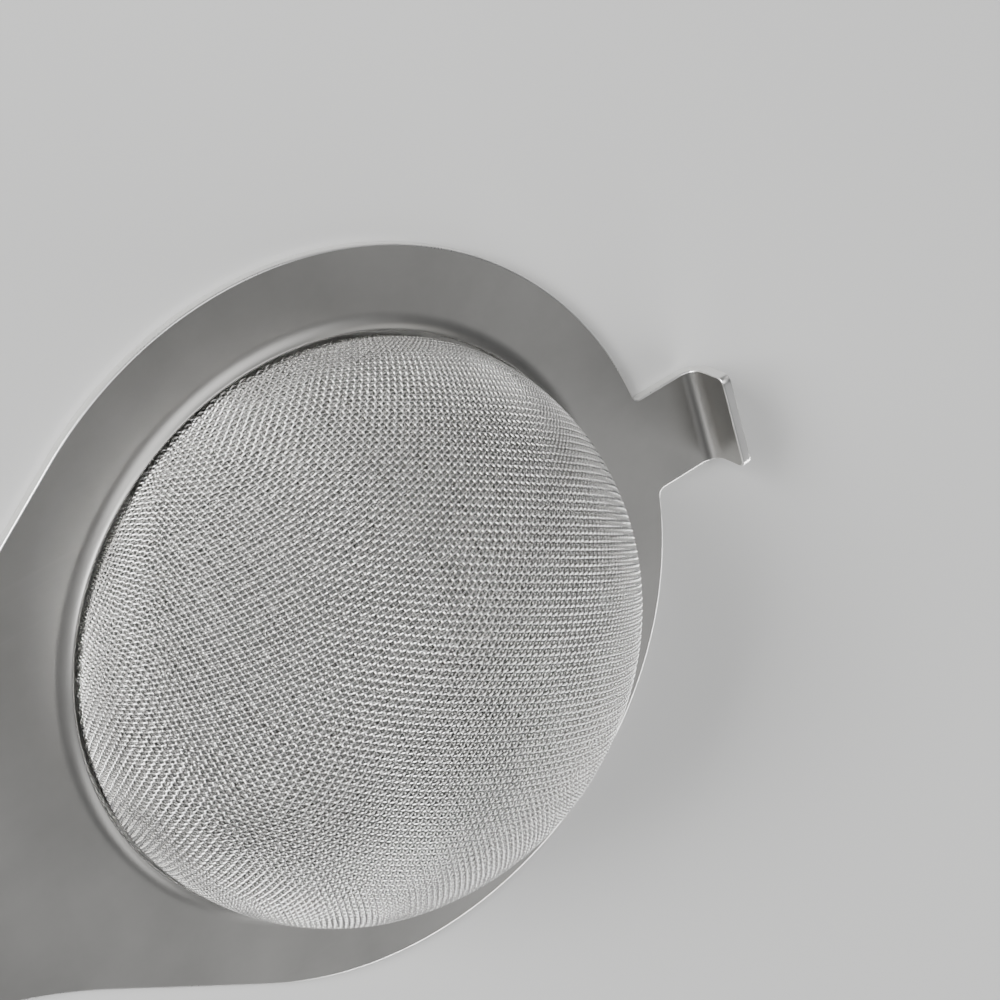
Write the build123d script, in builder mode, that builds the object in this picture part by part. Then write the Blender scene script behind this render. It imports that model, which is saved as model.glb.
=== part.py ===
from build123d import *
import math
import os

os.makedirs("parts", exist_ok=True)

# Hand strainer with a double wire-cloth bowl, lying face down.
# Z = 0 is the plate's in-use top face, the bowl rises along +Z,
# the pot hook points along +X and the handle along -X.
# All lengths are millimetres.

# --- stamped plate ---
SHEET_T = 1.2            # sheet thickness
RIM_R = 40.0             # outer radius of the round flange
SHOULDER_DEG = 35.0      # slope of the tapered shoulders against the handle
SHOULDER_X = -38.0       # where the straight shoulder starts to blend
HANDLE_HALF_W = 12.0     # half width of the handle
HANDLE_END_X = -135.0    # tip of the handle
HANG_HOLE_R = 4.0        # hanging hole
HANG_HOLE_X = -123.0
EDGE_ROUND = 0.25        # tumbled cut edges

# --- drawn collar around the hole ---
HOLE_R = 31.3            # cut wall of the collar
COLLAR_H = 0.7           # rise of the lip above the flange
COLLAR_LIP_R = 0.25      # rounding of the collar's lip
COLLAR_BASE_R = 33.3     # where the flange starts to curl up
COLLAR_SPLIT_R = 34.5    # radius where collar and flange meet

# --- pot hook ---
HOOK_HALF_W = 5.75
HOOK_BEND_IN_R = 1.8     # inside bend radius
HOOK_OUT_X = 48.8        # outer face of the lip
HOOK_TOP_Z = 6.4         # tip of the lip
HOOK_TIP_R = 1.0         # rounded corners of the lip
HOOK_ROOT_R = 0.8        # rounded inside corners at the rim

# --- wire-cloth bowls ---
BOWL_Z = 2.6             # where the bowls start to curve in
NECK_Z = 1.6             # top of the straight neck
NECK_IN = 0.4            # the neck is this much smaller than the bowl in radius
FINE_R = 31.15           # outer cloth, outside radius and rise
FINE_RISE = 24.3
FINE_T = 0.45
COARSE_R = 30.65         # inner cloth, outside radius and rise
COARSE_RISE = 23.8
COARSE_T = 0.6
FINE_HEM = (31.2, 0.62, 0.92)     # hem outer radius, bottom, top
COARSE_HEM = (31.2, 0.32, 0.57)

# --- retaining ring ---
RING_IN_R = 29.1
RING_OUT_R = 29.6
RING_TOP_Z = 3.4
RING_FLANGE_R = 31.8
RING_FLANGE_T = 0.27

slope = math.radians(SHOULDER_DEG)
tan_x = -RIM_R * math.sin(slope)
tan_y = RIM_R * math.cos(slope)
run_x, run_y = -math.cos(slope), -math.sin(slope)
run_len = (SHOULDER_X - tan_x) / run_x
shoulder_y = tan_y + run_len * run_y
blend_r = (shoulder_y - HANDLE_HALF_W) / (1.0 - math.cos(slope))
blend_x = SHOULDER_X - blend_r * math.sin(slope)
round_x = HANDLE_END_X + HANDLE_HALF_W

# Plate: round flange, tapered shoulders and handle in one outline,
# a drawn collar round the hole and a bent hook opposite the handle.
with BuildPart() as strainer_plate:
    with BuildSketch(Plane.XY):
        Circle(RIM_R)
        with BuildLine():
            Line((tan_x, tan_y), (SHOULDER_X, shoulder_y))
            TangentArc((SHOULDER_X, shoulder_y), (blend_x, HANDLE_HALF_W), tangent=(run_x, run_y))
            Line((blend_x, HANDLE_HALF_W), (round_x, HANDLE_HALF_W))
            ThreePointArc((round_x, HANDLE_HALF_W), (HANDLE_END_X, 0), (round_x, -HANDLE_HALF_W))
            Line((round_x, -HANDLE_HALF_W), (blend_x, -HANDLE_HALF_W))
            TangentArc((SHOULDER_X, -shoulder_y), (blend_x, -HANDLE_HALF_W), tangent=(run_x, -run_y))
            Line((SHOULDER_X, -shoulder_y), (tan_x, -tan_y))
            Line((tan_x, -tan_y), (tan_x, tan_y))
        make_face()
        Circle(COLLAR_SPLIT_R, mode=Mode.SUBTRACT)
    extrude(amount=SHEET_T)

# Pot hook: a tab bent up into a lip.
with BuildPart() as hook:
    with BuildSketch(Plane.XZ):
        with BuildLine():
            bend_c = HOOK_OUT_X - SHEET_T - HOOK_BEND_IN_R
            outer_bend = HOOK_BEND_IN_R + SHEET_T
            s = math.sqrt(0.5)
            Line((36.0, 0), (bend_c, 0))
            ThreePointArc((bend_c, 0),
                          (bend_c + outer_bend * s, outer_bend * (1 - s)),
                          (HOOK_OUT_X, outer_bend))
            Line((HOOK_OUT_X, outer_bend), (HOOK_OUT_X, HOOK_TOP_Z))
            Line((HOOK_OUT_X, HOOK_TOP_Z), (HOOK_OUT_X - SHEET_T, HOOK_TOP_Z))
            Line((HOOK_OUT_X - SHEET_T, HOOK_TOP_Z), (HOOK_OUT_X - SHEET_T, outer_bend))
            ThreePointArc((HOOK_OUT_X - SHEET_T, outer_bend),
                          (bend_c + HOOK_BEND_IN_R * s, outer_bend - HOOK_BEND_IN_R * s),
                          (bend_c, SHEET_T))
            Line((bend_c, SHEET_T), (36.0, SHEET_T))
            Line((36.0, SHEET_T), (36.0, 0))
        make_face()
    extrude(amount=HOOK_HALF_W, both=True)

with strainer_plate:
    add(hook.part)

    with Locations((HANG_HOLE_X, 0, SHEET_T)):
        Hole(HANG_HOLE_R)

    tip_edges = strainer_plate.edges().filter_by(Axis.X).group_by(Axis.Z)[-1]
    fillet(tip_edges, radius=HOOK_TIP_R)

    root_edges = (strainer_plate.edges().filter_by(Axis.Z)
                  .filter_by_position(Axis.X, 38.0, 40.0)
                  .filter_by_position(Axis.Y, -6.5, 6.5))
    fillet(root_edges, radius=HOOK_ROOT_R)

    rim_edges = [e for e in strainer_plate.edges()
                 if (abs(e.center().Z) < 1e-4 or abs(e.center().Z - SHEET_T) < 1e-4)
                 and e.bounding_box().size.Z < 1e-4
                 and math.hypot(e.center().X - HANG_HOLE_X, e.center().Y) > HANG_HOLE_R + 1
                 and min(math.hypot(v.X, v.Y) for v in e.vertices()) > COLLAR_SPLIT_R + 0.5
                 and e.center().X < bend_c - 0.01
                 and not (abs(e.center().Y) < 1e-3 and e.center().X > 0)]
    fillet(rim_edges, radius=EDGE_ROUND)

    # the curl is an arc tangent to the flange, the sheet's thickness all along
    top_z = SHEET_T + COLLAR_H
    lip_r = HOLE_R + COLLAR_LIP_R
    curl = 2 * math.atan2(COLLAR_H, COLLAR_BASE_R - lip_r)
    curl_r = COLLAR_H / (1 - math.cos(curl))
    curl_z = SHEET_T + curl_r
    under_r = curl_r + SHEET_T
    under = math.asin((COLLAR_BASE_R - HOLE_R) / under_r)
    with BuildSketch(Plane.XZ):
        with BuildLine():
            Line((COLLAR_SPLIT_R, 0), (COLLAR_BASE_R, 0))
            ThreePointArc((COLLAR_BASE_R, 0),
                          (COLLAR_BASE_R - under_r * math.sin(under / 2),
                           curl_z - under_r * math.cos(under / 2)),
                          (HOLE_R, curl_z - under_r * math.cos(under)))
            Line((HOLE_R, curl_z - under_r * math.cos(under)), (HOLE_R, top_z - COLLAR_LIP_R))
            ThreePointArc((HOLE_R, top_z - COLLAR_LIP_R),
                          (HOLE_R + COLLAR_LIP_R * (1 - s), top_z - COLLAR_LIP_R * (1 - s)),
                          (lip_r, top_z))
            ThreePointArc((lip_r, top_z),
                          (COLLAR_BASE_R - curl_r * math.sin(curl / 2),
                           curl_z - curl_r * math.cos(curl / 2)),
                          (COLLAR_BASE_R, SHEET_T))
            Line((COLLAR_BASE_R, SHEET_T), (COLLAR_SPLIT_R, SHEET_T))
            Line((COLLAR_SPLIT_R, SHEET_T), (COLLAR_SPLIT_R, 0))
        make_face()
    revolve(axis=Axis.Z)


def dome_points(radius, rise, count=13):
    """Points of a quarter ellipse from the bowl's wall up to its crown."""
    return [(radius * math.cos(math.pi / 2 * i / (count - 1)),
             BOWL_Z + rise * math.sin(math.pi / 2 * i / (count - 1)))
            for i in range(count - 1)] + [(0.0, BOWL_Z + rise)]


# Outer bowl, fine cloth: a thin domed shell whose rim turns out into a hem.
with BuildPart() as outer_sieve:
    with BuildSketch(Plane.XZ):
        with BuildLine():
            Spline(*dome_points(FINE_R, FINE_RISE), tangents=[(0, 1), (-1, 0)])
            Polyline((FINE_R, BOWL_Z), (FINE_R - NECK_IN, NECK_Z), (FINE_R - NECK_IN, FINE_HEM[2]),
                     (FINE_HEM[0], FINE_HEM[2]))
            Line((FINE_HEM[0], FINE_HEM[2]), (FINE_HEM[0], FINE_HEM[1]))
            Polyline((FINE_HEM[0], FINE_HEM[1]), (FINE_R - FINE_T - NECK_IN, FINE_HEM[1]),
                     (FINE_R - FINE_T - NECK_IN, NECK_Z), (FINE_R - FINE_T, BOWL_Z))
            Spline(*dome_points(FINE_R - FINE_T, FINE_RISE - FINE_T), tangents=[(0, 1), (-1, 0)])
            Line((0, BOWL_Z + FINE_RISE - FINE_T), (0, BOWL_Z + FINE_RISE))
        make_face()
    revolve(axis=Axis.Z)

# Inner bowl, coarse cloth: nests inside the outer one and carries it.
with BuildPart() as inner_sieve:
    with BuildSketch(Plane.XZ):
        with BuildLine():
            Spline(*dome_points(COARSE_R, COARSE_RISE), tangents=[(0, 1), (-1, 0)])
            Polyline((COARSE_R, BOWL_Z), (COARSE_R - NECK_IN, NECK_Z), (COARSE_R - NECK_IN, COARSE_HEM[2]),
                     (COARSE_HEM[0], COARSE_HEM[2]))
            Line((COARSE_HEM[0], COARSE_HEM[2]), (COARSE_HEM[0], COARSE_HEM[1]))
            Polyline((COARSE_HEM[0], COARSE_HEM[1]), (COARSE_R - COARSE_T - NECK_IN, COARSE_HEM[1]),
                     (COARSE_R - COARSE_T - NECK_IN, NECK_Z), (COARSE_R - COARSE_T, BOWL_Z))
            Spline(*dome_points(COARSE_R - COARSE_T, COARSE_RISE - COARSE_T), tangents=[(0, 1), (-1, 0)])
            Line((0, BOWL_Z + COARSE_RISE - COARSE_T), (0, BOWL_Z + COARSE_RISE))
        make_face()
    revolve(axis=Axis.Z)

# Retaining ring: an L section pressed into the collar, its band inside
# the cloths and its flange under their hems.
with BuildPart() as retaining_ring:
    with BuildSketch(Plane.XZ):
        with BuildLine():
            Polyline((RING_IN_R, 0), (RING_FLANGE_R, 0), (RING_FLANGE_R, RING_FLANGE_T),
                     (RING_OUT_R, RING_FLANGE_T), (RING_OUT_R, RING_TOP_Z),
                     (RING_IN_R, RING_TOP_Z), (RING_IN_R, 0))
        make_face()
    revolve(axis=Axis.Z)

strainer_plate.part.label = "strainer_plate"
outer_sieve.part.label = "outer_sieve"
inner_sieve.part.label = "inner_sieve"
retaining_ring.part.label = "retaining_ring"

export_step(strainer_plate.part, "parts/strainer_plate.step")
export_step(outer_sieve.part, "parts/outer_sieve.step")
export_step(inner_sieve.part, "parts/inner_sieve.step")
export_step(retaining_ring.part, "parts/retaining_ring.step")
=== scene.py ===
import math

import bmesh
import bpy
import numpy as np
from mathutils import Matrix, Vector
from mathutils.geometry import delaunay_2d_cdt


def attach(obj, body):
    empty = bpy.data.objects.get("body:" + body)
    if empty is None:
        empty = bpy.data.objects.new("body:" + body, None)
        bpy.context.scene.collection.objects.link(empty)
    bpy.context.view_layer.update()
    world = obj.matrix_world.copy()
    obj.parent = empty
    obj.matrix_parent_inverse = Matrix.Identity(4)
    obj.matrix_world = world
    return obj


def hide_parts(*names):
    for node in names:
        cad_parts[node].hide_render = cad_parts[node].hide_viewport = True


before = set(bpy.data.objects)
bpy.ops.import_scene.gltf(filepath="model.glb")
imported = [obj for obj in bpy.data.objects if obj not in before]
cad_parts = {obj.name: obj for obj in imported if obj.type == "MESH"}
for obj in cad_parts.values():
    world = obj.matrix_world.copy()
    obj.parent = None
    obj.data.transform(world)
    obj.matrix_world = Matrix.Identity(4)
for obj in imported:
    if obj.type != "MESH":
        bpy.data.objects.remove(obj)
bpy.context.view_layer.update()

MM = 0.001


NECK_IN = 0.4   # the bowl's neck is this much smaller in radius than the bowl


# ---------------------------------------------------------------- woven cloth
class Bowl:
    """Half an ellipsoid on a short straight neck, in millimetres."""

    def __init__(self, radius, rise, z0):
        self.a, self.b, self.z0 = radius, rise, z0

    def onto(self, p):
        up = p[..., 2] > self.z0
        r = np.maximum(np.hypot(p[..., 0], p[..., 1]), 1e-9)
        k = 1.0 / np.sqrt((r / self.a) ** 2 + ((p[..., 2] - self.z0) / self.b) ** 2)
        q = p.copy()
        q[..., 0] = np.where(up, p[..., 0] * k, p[..., 0] * self.a / r)
        q[..., 1] = np.where(up, p[..., 1] * k, p[..., 1] * self.a / r)
        q[..., 2] = np.where(up, self.z0 + (p[..., 2] - self.z0) * k, p[..., 2])
        return q

    def normal(self, p):
        up = p[..., 2] > self.z0
        n = np.stack(
            [p[..., 0] / self.a**2, p[..., 1] / self.a**2,
             np.where(up, (p[..., 2] - self.z0) / self.b**2, 0.0)], -1)
        return n / np.linalg.norm(n, axis=-1, keepdims=True)

    def meridian(self, step, n):
        th = np.linspace(0, math.pi / 2, 4001)
        r, z = self.a * np.sin(th), self.z0 + self.b * np.cos(th)
        run = np.r_[0, np.cumsum(np.hypot(np.diff(r), np.diff(z)))]
        q = np.arange(n) * step
        low = self.z0 - (q - run[-1])
        return (np.where(q <= run[-1], np.interp(q, run, r), self.a),
                np.where(q <= run[-1], np.interp(q, run, z), low))

    def drape(self, step, n):
        """A cloth that can shear but not stretch, laid over one quarter of the bowl."""
        p = np.zeros((n, n, 3))
        r, z = self.meridian(step, n)
        p[:, 0] = np.c_[r, 0 * r, z]
        p[0, :] = np.c_[0 * r, r, z]
        for k in range(2, 2 * n - 1):
            i = np.arange(max(1, k - n + 1), min(n, k))
            j = k - i
            ok = (j >= 1) & (j < n)
            i, j = i[ok], j[ok]
            a, b, c = p[i - 1, j], p[i, j - 1], p[i - 1, j - 1]
            x = self.onto(a + b - c)
            for _ in range(8):
                nn = self.normal(x)
                da, db = x - a, x - b
                la, lb = np.linalg.norm(da, axis=1), np.linalg.norm(db, axis=1)
                m = np.stack([da / la[:, None], db / lb[:, None], nn], 1)
                rhs = -np.stack([la - step, lb - step, 0 * la], 1)
                weak = np.abs(np.linalg.det(m)) < 0.05
                m = m + weak[:, None, None] * np.eye(3) * 0.3
                move = np.linalg.solve(m, rhs[..., None])[..., 0]
                x = self.onto(x + np.clip(move, -0.3 * step, 0.3 * step))
            p[i, j] = x
        return p


def smooth_noise(rng, size, waves):
    """A smooth random curve of about unit height."""
    t = np.linspace(0, 2 * math.pi, size)
    out = np.zeros(size)
    for k in range(1, waves + 1):
        out += rng.normal() * np.sin(k * t + rng.uniform(0, 2 * math.pi)) / k**0.5
    return out / max(np.abs(out).max(), 1e-6)


def weave(name, bowl, pitch_u, pitch_v, wire, turn_deg, z_end, sides, rings, parts, seed):
    """Plain-woven wires on the bowl. Returns [(name, vertices, faces)], in metres.
    Wires of the first set run along u, pitch_v apart, and those of the second along v."""
    rng = np.random.default_rng(seed)
    step, n = 0.3, 156
    quarter = bowl.drape(step, n)
    full = np.zeros((2 * n - 1, 2 * n - 1, 3))
    for sx in (1, -1):
        for sy in (1, -1):
            q = quarter * np.array([sx, sy, 1.0])
            full[n - 1:: 1, n - 1:: 1][:n, :n] = q if (sx, sy) == (1, 1) else full[n - 1:, n - 1:]
            if (sx, sy) == (-1, 1):
                full[:n, n - 1:] = q[::-1, :]
            elif (sx, sy) == (1, -1):
                full[n - 1:, :n] = q[:, ::-1]
            elif (sx, sy) == (-1, -1):
                full[:n, :n] = q[::-1, ::-1]
    span = (n - 1) * step
    ca, sa = math.cos(math.radians(turn_deg)), math.sin(math.radians(turn_deg))

    def at(u, v):
        x, y = (u + span) / step, (v + span) / step
        x, y = np.clip(x, 0, 2 * n - 2.001), np.clip(y, 0, 2 * n - 2.001)
        i, j = x.astype(int), y.astype(int)
        fx, fy = (x - i)[:, None], (y - j)[:, None]
        p = (full[i, j] * (1 - fx) * (1 - fy) + full[i + 1, j] * fx * (1 - fy)
             + full[i, j + 1] * (1 - fx) * fy + full[i + 1, j + 1] * fx * fy)
        return bowl.onto(p)

    made = []
    for which in (0, 1):
        along, across = (pitch_u, pitch_v) if which == 0 else (pitch_v, pitch_u)
        lines = []
        count = int(span / across)
        for k in range(-count, count):
            base = (k + 0.5) * across + rng.normal() * across * 0.022
            s = np.arange(-span, span, along / rings)
            drift = across * 0.05 * smooth_noise(rng, len(s), 5)
            lift = (0.52 * wire) * np.cos(math.pi * (s / along - 0.5)) * (-1) ** k
            if which == 1:
                lift = -lift
            uv = (s, base + drift) if which == 0 else (base + drift, s)
            p = at(*uv)
            keep = p[:, 2] > z_end
            mid = len(s) // 2
            if not keep[mid]:
                continue
            lo = mid - np.argmin(keep[mid::-1]) + 1 if not keep[:mid].all() else 0
            hi = mid + np.argmin(keep[mid:]) if not keep[mid:].all() else len(s)
            if hi - lo < 2 * rings:
                continue
            p, lift = p[lo:hi], lift[lo:hi]
            pull = np.clip((3.0 - p[:, 2]) / 1.4, 0, 1)
            pull = 1 - NECK_IN / bowl.a * pull * pull * (3 - 2 * pull)
            p = p * np.stack([pull, pull, np.ones_like(pull)], 1)
            nn = bowl.normal(p)
            c = p + nn * lift[:, None]
            c = np.stack([c[:, 0] * ca - c[:, 1] * sa, c[:, 0] * sa + c[:, 1] * ca, c[:, 2]], 1)
            nn = np.stack([nn[:, 0] * ca - nn[:, 1] * sa, nn[:, 0] * sa + nn[:, 1] * ca, nn[:, 2]], 1)
            t = np.gradient(c, axis=0)
            t /= np.linalg.norm(t, axis=1, keepdims=True)
            b = np.cross(t, nn)
            b /= np.linalg.norm(b, axis=1, keepdims=True)
            m = np.cross(b, t)
            ang = (np.arange(sides) + 0.5) * 2 * math.pi / sides
            ring = (c[:, None, :] + 0.5 * wire * (np.cos(ang)[None, :, None] * m[:, None, :]
                                                  + np.sin(ang)[None, :, None] * b[:, None, :]))
            lines.append(ring)
        # share the wires between the pieces, about evenly by length
        size = np.array([len(r) for r in lines])
        cut = np.searchsorted(np.cumsum(size), size.sum() * np.arange(1, parts) / parts)
        for number, group in enumerate(np.split(np.arange(len(lines)), cut)):
            verts, quads, caps, base = [], [], [], 0
            for g in group:
                ring = lines[g]
                m_, s_ = ring.shape[:2]
                verts.append(ring.reshape(-1, 3))
                i = np.arange(m_ - 1)[:, None] * s_
                j = np.arange(s_)[None, :]
                k2 = (j + 1) % s_
                quads.append((base + np.stack([i + j, i + k2, i + s_ + k2, i + s_ + j], -1)).reshape(-1, 4))
                caps.append(base + np.arange(s_)[::-1])
                caps.append(base + (m_ - 1) * s_ + np.arange(s_))
                base += m_ * s_
            word = "warp" if which == 0 else "weft"
            made.append((f"{name}_{word}_{number + 1}", np.concatenate(verts) * MM,
                         np.concatenate(quads), np.array(caps)))
    return made


def mesh_object(name, verts, quads, caps=None, smooth=True):
    me = bpy.data.meshes.new(name)
    me.vertices.add(len(verts))
    me.vertices.foreach_set("co", np.asarray(verts, np.float32).ravel())
    loops = [np.asarray(quads).ravel()]
    sizes = [np.full(len(quads), quads.shape[1])]
    if caps is not None and len(caps):
        loops.append(np.asarray(caps).ravel())
        sizes.append(np.full(len(caps), caps.shape[1]))
    loops, sizes = np.concatenate(loops), np.concatenate(sizes)
    me.loops.add(len(loops))
    me.loops.foreach_set("vertex_index", loops.astype(np.int32))
    me.polygons.add(len(sizes))
    me.polygons.foreach_set("loop_start", np.r_[0, np.cumsum(sizes)[:-1]].astype(np.int32))
    me.polygons.foreach_set("use_smooth", np.full(len(sizes), smooth))
    me.update(calc_edges=True)
    me.validate()
    ob = bpy.data.objects.new(name, me)
    bpy.context.scene.collection.objects.link(ob)
    return ob


# ---------------------------------------------------------------- stamped plate
T, RIM, EDGE, HOLD = 1.2, 40.0, 0.22, 0.05
BEND_X, BEND_R, LIP_UP = 45.8, 1.8, 3.4
TAB_W, TIP_R, ROOT_R = 5.75, 1.0, 0.8
BEND_L = (BEND_R + T / 2) * math.pi / 2
TAB_END = BEND_X + BEND_L + LIP_UP


def arc(cx, cy, r, a0, a1, n):
    a = np.radians(np.linspace(a0, a1, n))
    return [(cx + r * math.cos(t), cy + r * math.sin(t)) for t in a]


def straight(p, q, n):
    return [(p[0] + (q[0] - p[0]) * t, p[1] + (q[1] - p[1]) * t) for t in np.linspace(0, 1, n)]


def upper_outline():
    """Half the flat blank, from the middle of the hook's tip round to the middle of the handle's tip."""
    pts = straight((TAB_END, 0), (TAB_END, TAB_W - TIP_R), 5)
    pts += arc(TAB_END - TIP_R, TAB_W - TIP_R, TIP_R, 0, 90, 9)[1:]
    bends = [BEND_X + BEND_L + 0.06, *np.linspace(BEND_X + BEND_L, BEND_X, 15), BEND_X - 0.06]
    first = len(pts)
    pts += [(u, TAB_W) for u in bends]
    marks = list(range(first, len(pts)))
    cy = TAB_W + ROOT_R
    cx = math.sqrt((RIM + ROOT_R) ** 2 - cy**2)
    root = arc(cx, cy, ROOT_R, 270, 180 + math.degrees(math.atan2(cy, cx)), 9)
    pts += straight(pts[-1], root[0], 6)[1:-1] + root
    start = math.degrees(math.atan2(root[-1][1], root[-1][0]))
    slope = math.radians(35.0)
    pts += arc(0, 0, RIM, start, 125.0, 117)[1:]
    tx, ty = pts[-1]
    sx = -38.0
    sy = ty - math.tan(slope) * (tx - sx)
    br = (sy - 12.0) / (1 - math.cos(slope))
    bx = sx - br * math.sin(slope)
    pts += straight((tx, ty), (sx, sy), 12)[1:]
    pts += arc(bx, 12.0 + br, br, 270 + 35.0, 270, 25)[1:]
    pts += straight((bx, 12.0), (-123.0, 12.0), 28)[1:]
    pts += arc(-123.0, 0, 12.0, 90, 180, 33)[1:]
    return np.array(pts), marks


def fold(p):
    """Bend the flat blank (u, v, height in the sheet) up into the hook's lip."""
    u, v, w = p[:, 0], p[:, 1], p[:, 2]
    r = BEND_R + T - w
    a = np.clip((u - BEND_X) / (BEND_R + T / 2), 0, math.pi / 2)
    up = np.maximum(u - BEND_X - BEND_L, 0)
    x = np.where(u > BEND_X, BEND_X + r * np.sin(a), u)
    z = np.where(u > BEND_X, T + BEND_R - r * np.cos(a) + up, w)
    return np.stack([x, v, z], 1)


def plate_mesh():
    """Closed mesh of the plate: (vertices, faces, material numbers). 0 is sheet, 1 is cut edge."""
    half, marks = upper_outline()
    ring = np.concatenate([half, half[-2:0:-1] * np.array([1, -1])])
    n = len(ring)
    ahead, back = np.roll(ring, -1, 0) - ring, ring - np.roll(ring, 1, 0)
    ahead /= np.linalg.norm(ahead, axis=1)[:, None]
    back /= np.linalg.norm(back, axis=1)[:, None]
    tang = ahead + back
    tang /= np.linalg.norm(tang, axis=1)[:, None]
    inward = np.stack([-tang[:, 1], tang[:, 0]], 1)

    hole_n, collar_n = 96, 600
    ha = np.arange(hole_n) * 2 * math.pi / hole_n
    hole_dir = np.stack([np.cos(ha), np.sin(ha)], 1)
    ca = np.arange(collar_n) * 2 * math.pi / collar_n
    collar_dir = np.stack([np.cos(ca), np.sin(ca)], 1)

    def side(base, direction):
        """Rings of points from the top face over the rounded cut edge to the bottom face."""
        rows = [(EDGE, T)]
        rows += [(EDGE - EDGE * math.sin(t), T - EDGE + EDGE * math.cos(t)) for t in np.radians([18, 36, 54, 72, 90])]
        rows += [(0, T / 2)]
        rows += [(EDGE - EDGE * math.sin(t), EDGE - EDGE * math.cos(t)) for t in np.radians([90, 72, 54, 36, 18])]
        rows += [(EDGE, 0)]
        return [np.c_[base + direction * d, np.full(len(base), w)] for d, w in rows]

    outer_loop = ring + inward * (EDGE + HOLD)
    hole_c = np.array([-123.0, 0.0])
    hole_loop = hole_c + hole_dir * (4.0 + EDGE + HOLD)
    collar_loop = collar_dir * 34.5
    flat = np.concatenate([outer_loop, hole_loop, collar_loop])
    o = np.arange(n)
    h = n + np.arange(hole_n)
    c = n + hole_n + np.arange(collar_n)
    edges = [(int(g[i]), int(g[(i + 1) % len(g)])) for g in (o, h, c) for i in range(len(g))]
    edges += [(k, n - k) for k in marks]
    out = delaunay_2d_cdt([Vector(p) for p in flat], edges, [], 1, 1e-6)
    tf = np.array([tuple(f) for f in out[2]])
    # the loops' own numbers of the triangulation's points
    number = np.array([ids[0] if len(ids) else -1 for ids in out[3]])
    assert (number >= 0).all(), f"the triangulation added {(number < 0).sum()} points"
    tf = number[tf]
    mid = flat[tf].mean(1)
    keep = (np.hypot(mid[:, 0], mid[:, 1]) > 34.49) & (np.hypot(mid[:, 0] + 123, mid[:, 1]) > 4.25)
    tf = tf[keep]

    verts, faces, mats = [], [], []
    top = np.c_[flat, np.full(len(flat), T)]
    bottom = np.c_[flat, np.zeros(len(flat))]
    verts += [top, bottom]
    count = 2 * len(flat)
    faces += [tuple(f) for f in tf] + [tuple(f[::-1] + len(flat)) for f in tf]
    mats += [0] * (2 * len(tf))

    def strips(first, rows, last, kinds):
        nonlocal count
        rings = [first]
        for row in rows:
            verts.append(row)
            rings.append(count + np.arange(len(row)))
            count += len(row)
        rings.append(last)
        for (a, b), kind in zip(zip(rings[:-1], rings[1:]), kinds):
            m = len(a)
            for i in range(m):
                j = (i + 1) % m
                faces.append((int(a[i]), int(b[i]), int(b[j]), int(a[j])))
                mats.append(kind)

    rows = side(ring, inward)
    strips(o, rows, o + len(flat), [0, 1] + [1] * (len(rows) - 3) + [1, 0])
    rows = side(hole_c + hole_dir * 4.0, hole_dir)
    strips(h, rows, h + len(flat), [0] + [1] * (len(rows) - 1) + [0])
    # the collar's section, from the top face over the lip to the bottom face
    base_r, hole_r, high, lip = 33.3, 31.3, 0.7, 0.25
    curl = 2 * math.atan2(high, base_r - hole_r - lip)
    cr = high / (1 - math.cos(curl))
    cz, ur = T + cr, cr + T
    under = math.asin((base_r - hole_r - 0.1) / ur)
    sec = [(33.9, T), (33.4, T)]
    sec += [(base_r - cr * math.sin(t), cz - cr * math.cos(t)) for t in np.linspace(0, curl, 15)]
    wall_at = len(sec)
    top_z = T + high
    sec += [(hole_r + lip * 0.62, top_z - lip * 0.03), (hole_r + lip * 0.29, top_z - lip * 0.29),
            (hole_r + lip * 0.08, top_z - lip * 0.6), (hole_r, top_z - lip), (hole_r, 1.4), (hole_r, 1.0)]
    foot = cz - ur * math.cos(under)
    sec += [(hole_r, foot + 0.1), (hole_r + 0.03, foot + 0.03)]
    wall_end = len(sec)
    sec += [(base_r - ur * math.sin(t), cz - ur * math.cos(t)) for t in np.linspace(under, 0, 12)]
    sec += [(33.4, 0), (33.9, 0)]
    rows = [np.c_[collar_dir * r, np.full(collar_n, z)] for r, z in sec]
    kinds = [0] * (wall_at + 1) + [1] * (wall_end - wall_at) + [0] * (len(sec) - wall_end)
    strips(c, rows, c + len(flat), kinds)
    return fold(np.concatenate(verts)) * MM, faces, mats


def solid_object(name, verts, faces, mats):
    me = bpy.data.meshes.new(name)
    me.from_pydata([tuple(map(float, v)) for v in verts], [], [tuple(map(int, f)) for f in faces])
    me.polygons.foreach_set("material_index", np.array(mats, np.int32))
    bm = bmesh.new()
    bm.from_mesh(me)
    bmesh.ops.recalc_face_normals(bm, faces=bm.faces)
    loose = sum(1 for e in bm.edges if not e.is_manifold)
    bmesh.ops.triangulate(bm, faces=[f for f in bm.faces if len(f.verts) > 3])
    bm.to_mesh(me)
    bm.free()
    me.polygons.foreach_set("use_smooth", np.ones(len(me.polygons), bool))
    me.update()
    print(name, "triangles", len(me.polygons), "open edges", loose)
    ob = bpy.data.objects.new(name, me)
    bpy.context.scene.collection.objects.link(ob)
    return ob


# ------------------------------------------------------------------ materials
def tree(name):
    mat = bpy.data.materials.new(name)
    mat.use_nodes = True
    nt = mat.node_tree
    nt.nodes.clear()
    out = nt.nodes.new("ShaderNodeOutputMaterial")
    bsdf = nt.nodes.new("ShaderNodeBsdfPrincipled")
    nt.links.new(bsdf.outputs["BSDF"], out.inputs["Surface"])
    return mat, nt, bsdf


def add(nt, kind, **inputs):
    node = nt.nodes.new(kind)
    for key, value in inputs.items():
        if key in node.inputs:
            node.inputs[key].default_value = value
        else:
            setattr(node, key, value)
    return node


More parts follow.
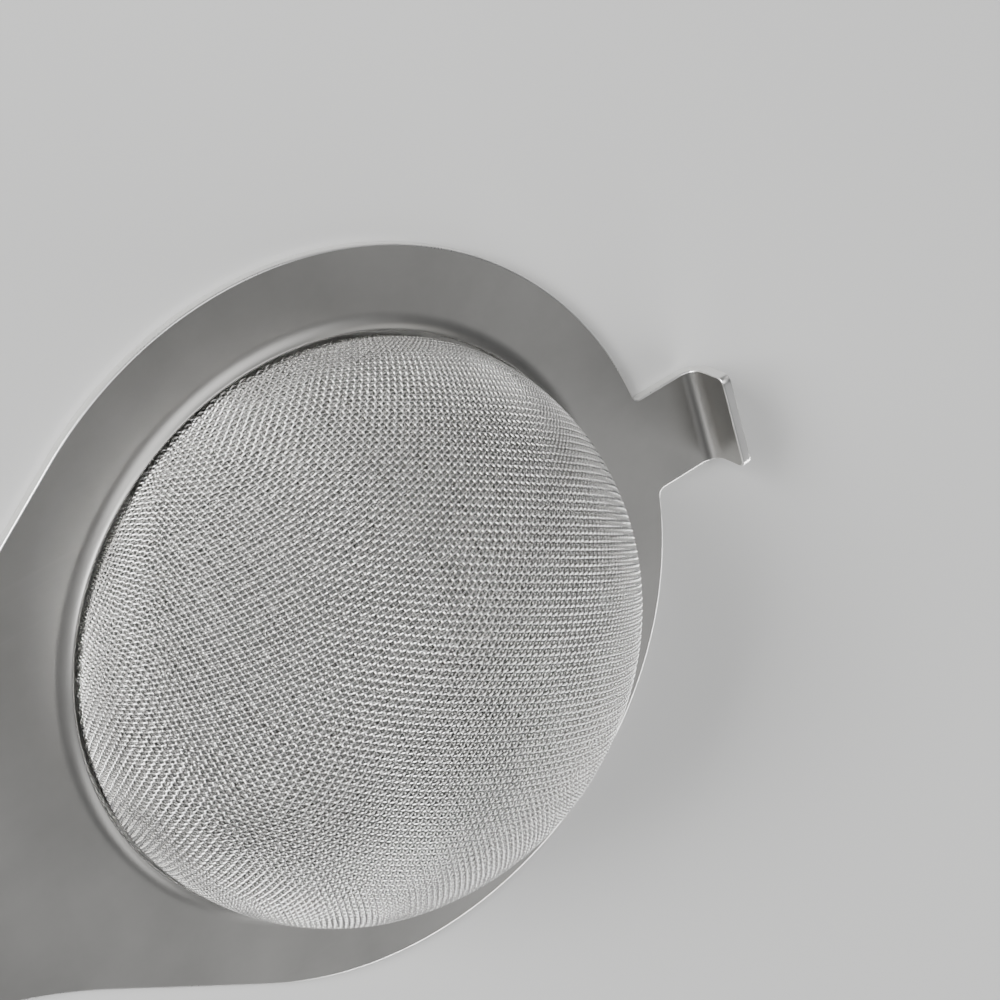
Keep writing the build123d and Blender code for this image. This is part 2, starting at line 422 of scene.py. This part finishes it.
def noise(nt, coord, scale, detail=4.0, rough=0.55):
    node = nt.nodes.new("ShaderNodeTexNoise")
    node.inputs["Scale"].default_value = scale
    node.inputs["Detail"].default_value = detail
    node.inputs["Roughness"].default_value = rough
    nt.links.new(coord, node.inputs["Vector"])
    return node.outputs["Fac"]


def spread(nt, value, low, high, to_low, to_high):
    node = nt.nodes.new("ShaderNodeMapRange")
    node.inputs["From Min"].default_value = low
    node.inputs["From Max"].default_value = high
    node.inputs["To Min"].default_value = to_low
    node.inputs["To Max"].default_value = to_high
    nt.links.new(value, node.inputs["Value"])
    return node.outputs["Result"]


def maths(nt, op, a, b=None):
    node = nt.nodes.new("ShaderNodeMath")
    node.operation = op
    for socket, value in zip(node.inputs, (a, b)):
        if value is None:
            continue
        if isinstance(value, (int, float)):
            socket.default_value = value
        else:
            nt.links.new(value, socket)
    return node.outputs["Value"]


def blend(nt, fac, a, b):
    node = nt.nodes.new("ShaderNodeMix")
    node.data_type = "RGBA"
    for socket, value in ((node.inputs[0], fac), (node.inputs[6], a), (node.inputs[7], b)):
        if isinstance(value, (int, float, tuple)):
            socket.default_value = value
        else:
            nt.links.new(value, socket)
    return node.outputs[2]


def stretched(nt, coord, turn, squeeze):
    node = nt.nodes.new("ShaderNodeMapping")
    node.inputs["Rotation"].default_value = (0, 0, math.radians(turn))
    node.inputs["Scale"].default_value = squeeze
    nt.links.new(coord, node.inputs["Vector"])
    return node.outputs["Vector"]


def satin_steel(name, dark, light, rough_mid, grain_depth=0.07):
    """Satin stainless sheet: fine blasted grain, faint clouding and a few hairline scratches."""
    mat, nt, bsdf = tree(name)
    bsdf.inputs["Metallic"].default_value = 1.0
    coord = nt.nodes.new("ShaderNodeTexCoord").outputs["Object"]
    cloud = noise(nt, coord, 55.0, 4.0, 0.5)
    mottle = noise(nt, coord, 420.0, 3.0, 0.6)
    grain = noise(nt, coord, 5200.0, 2.0, 0.7)
    scratch = None
    for turn, scale in ((14, 1.0), (-38, 0.8), (81, 1.3)):
        v = stretched(nt, coord, turn, (9.0 * scale, 900.0 * scale, 900.0 * scale))
        line = spread(nt, noise(nt, v, 1.0, 2.0, 0.5), 0.71, 0.79, 0.0, 1.0)
        scratch = line if scratch is None else maths(nt, "MAXIMUM", scratch, line)
    body = blend(nt, spread(nt, cloud, 0.3, 0.7, 0.0, 1.0), dark + (1,), light + (1,))
    body = blend(nt, spread(nt, mottle, 0.25, 0.75, 0.0, 0.30), body,
                 tuple(min(1.0, 1.08 * c) for c in light) + (1,))
    body = blend(nt, maths(nt, "MULTIPLY", scratch, 0.05), body, (0.74, 0.73, 0.71, 1))
    nt.links.new(body, bsdf.inputs["Base Color"])
    rough = spread(nt, cloud, 0.3, 0.7, rough_mid - 0.03, rough_mid + 0.03)
    rough = maths(nt, "ADD", rough, spread(nt, grain, 0.3, 0.7, -0.02, 0.02))
    rough = maths(nt, "SUBTRACT", rough, maths(nt, "MULTIPLY", scratch, 0.015))
    nt.links.new(rough, bsdf.inputs["Roughness"])
    height = maths(nt, "ADD", maths(nt, "MULTIPLY", grain, 1.0), maths(nt, "MULTIPLY", mottle, 0.6))
    height = maths(nt, "SUBTRACT", height, maths(nt, "MULTIPLY", scratch, 0.10))
    bump = nt.nodes.new("ShaderNodeBump")
    bump.inputs["Strength"].default_value = grain_depth
    bump.inputs["Distance"].default_value = 0.00002
    nt.links.new(height, bump.inputs["Height"])
    nt.links.new(bump.outputs["Normal"], bsdf.inputs["Normal"])
    return mat


def wire_steel(name, colour, rough_low, rough_high):
    """Drawn stainless wire: bright, with a fine bumpy grain and patches of duller surface."""
    mat, nt, bsdf = tree(name)
    bsdf.inputs["Metallic"].default_value = 1.0
    bsdf.inputs["Base Color"].default_value = colour
    coord = nt.nodes.new("ShaderNodeTexCoord").outputs["Object"]
    patch = noise(nt, coord, 240.0, 3.0, 0.6)
    fine = noise(nt, coord, 3600.0, 2.0, 0.6)
    rough = spread(nt, patch, 0.3, 0.7, rough_low, rough_high)
    rough = maths(nt, "ADD", rough, spread(nt, fine, 0.3, 0.7, -0.04, 0.04))
    nt.links.new(rough, bsdf.inputs["Roughness"])
    bump = nt.nodes.new("ShaderNodeBump")
    bump.inputs["Strength"].default_value = 0.12
    bump.inputs["Distance"].default_value = 0.00002
    nt.links.new(fine, bump.inputs["Height"])
    nt.links.new(bump.outputs["Normal"], bsdf.inputs["Normal"])
    return mat


def paint(ob, mat):
    if ob.data.materials:
        for i in range(len(ob.data.materials)):
            ob.data.materials[i] = mat
    else:
        ob.data.materials.append(mat)


plate_mat = satin_steel("satin_plate", (0.41, 0.404, 0.389), (0.48, 0.473, 0.457), 0.38)
# The cut edges and the collar's lip use the same satin steel as the sheet, painted much lighter: a painted highlight
# for the light the edges catch.
edge_highlight_mat = satin_steel("cut_edge_painted_highlight", (0.80, 0.795, 0.78), (0.90, 0.892, 0.875), 0.30, 0.05)
ring_mat = satin_steel("satin_ring", (0.52, 0.515, 0.50), (0.62, 0.614, 0.60), 0.32)
fine_warp = wire_steel("fine_wire_warp", (0.87, 0.862, 0.846, 1), 0.15, 0.26)
fine_weft = wire_steel("fine_wire_weft", (0.84, 0.833, 0.818, 1), 0.16, 0.28)
# The coarse inner wires are painted darker than the fine wires: painted shade for the inner bowl, which lies under
# the outer one.
coarse_warp_shaded = wire_steel("coarse_wire_warp", (0.68, 0.674, 0.66, 1), 0.22, 0.36)
coarse_weft_shaded = wire_steel("coarse_wire_weft_painted_shade", (0.64, 0.634, 0.62, 1), 0.24, 0.38)

plate = solid_object("strainer_plate_body", *plate_mesh())
plate.data.materials.append(plate_mat)
plate.data.materials.append(edge_highlight_mat)
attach(plate, "root")
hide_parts("strainer_plate")
paint(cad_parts["retaining_ring"], ring_mat)

# ---------------------------------------------------------------- the bowls
FINE = Bowl(30.925, 24.075, 2.6)
COARSE = Bowl(30.35, 23.5, 2.6)
for made, mats, node, slot in (
    (weave("outer_sieve", FINE, 0.612, 0.498, 0.22, 6.5, 0.76, 5, 4, 4, 11),
     (fine_warp, fine_weft), "outer_sieve", "fine_cloth"),
    (weave("inner_sieve", COARSE, 0.877, 0.714, 0.29, 2.0, 0.47, 5, 4, 2, 23),
     (coarse_warp_shaded, coarse_weft_shaded), "inner_sieve", "coarse_cloth"),
):
    for name, verts, quads, caps in made:
        ob = mesh_object(name, verts, quads, caps)
        paint(ob, mats[0] if "_warp_" in name else mats[1])
        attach(ob, "root")
        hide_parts(node)
        print(name, "triangles", 2 * len(quads) + len(caps) * 3)

# -------------------------------------------------------------- floor, light
me = bpy.data.meshes.new("floor")
s = 3.0
me.from_pydata([(-s, -s, 0), (s, -s, 0), (s, s, 0), (-s, s, 0)], [], [(0, 1, 2, 3)])
floor = bpy.data.objects.new("floor", me)
floor.location = (0, 0, -0.00006)
bpy.context.scene.collection.objects.link(floor)
fmat, fnt, fb = tree("floor_paint")
fb.inputs["Base Color"].default_value = (0.76, 0.76, 0.75, 1)
fb.inputs["Roughness"].default_value = 0.75
paint(floor, fmat)

world = bpy.data.worlds.new("studio")
bpy.context.scene.world = world
world.use_nodes = True
bg = world.node_tree.nodes["Background"]
bg.inputs["Color"].default_value = (0.93, 0.96, 1.0, 1)
bg.inputs["Strength"].default_value = 0.10


def area(name, azimuth, elevation, distance, size, power, colour=(1, 1, 1)):
    """A soft panel aimed at the bowl. Azimuth 0 is +X, 90 is +Y."""
    az, el = math.radians(azimuth), math.radians(elevation)
    at = Vector((math.cos(az) * math.cos(el), math.sin(az) * math.cos(el), math.sin(el))) * distance
    lamp = bpy.data.lights.new(name, "AREA")
    lamp.shape = "RECTANGLE"
    lamp.size, lamp.size_y = size
    lamp.energy = power
    lamp.color = colour
    ob = bpy.data.objects.new(name, lamp)
    ob.location = at
    ob.rotation_euler = (-at).to_track_quat("-Z", "Y").to_euler()
    bpy.context.scene.collection.objects.link(ob)
    return ob


area("key", 84, 62, 0.8, (0.7, 0.45), 2.6)
area("front", 140, 24, 0.9, (0.5, 0.28), 12.0)
area("far", 298, 12, 0.9, (0.8, 0.22), 8.0)
area("right", 35, 22, 0.9, (0.5, 0.3), 0.6, (1.0, 0.98, 0.95))
area("left", 225, 24, 0.9, (0.6, 0.35), 1.2)
area("fill", 302, 54, 1.1, (0.9, 0.7), 0.6)

# ------------------------------------------------------------------- camera
R = np.array([[0.7890180, -0.2633739, 0.5550539],
              [-0.4762958, -0.8328860, 0.2818568],
              [0.3880629, -0.4867599, -0.7826059]])
centre = np.array([-2.0393053, 3.2977522, 5.1443865]) * 0.040 + np.array([0, 0, 0.0012])
cam_data = bpy.data.cameras.new("camera")
cam_data.sensor_width = 36.0
cam_data.lens = 90.0
cam_data.clip_start, cam_data.clip_end = 0.01, 20.0
cam = bpy.data.objects.new("camera", cam_data)
bpy.context.scene.collection.objects.link(cam)
u, _, vt = np.linalg.svd(R)
R = u @ vt
m = Matrix.Identity(4)
for i in range(3):
    m[i][0], m[i][1], m[i][2], m[i][3] = R[0][i], -R[1][i], -R[2][i], centre[i]
cam.matrix_world = m
bpy.context.scene.camera = cam
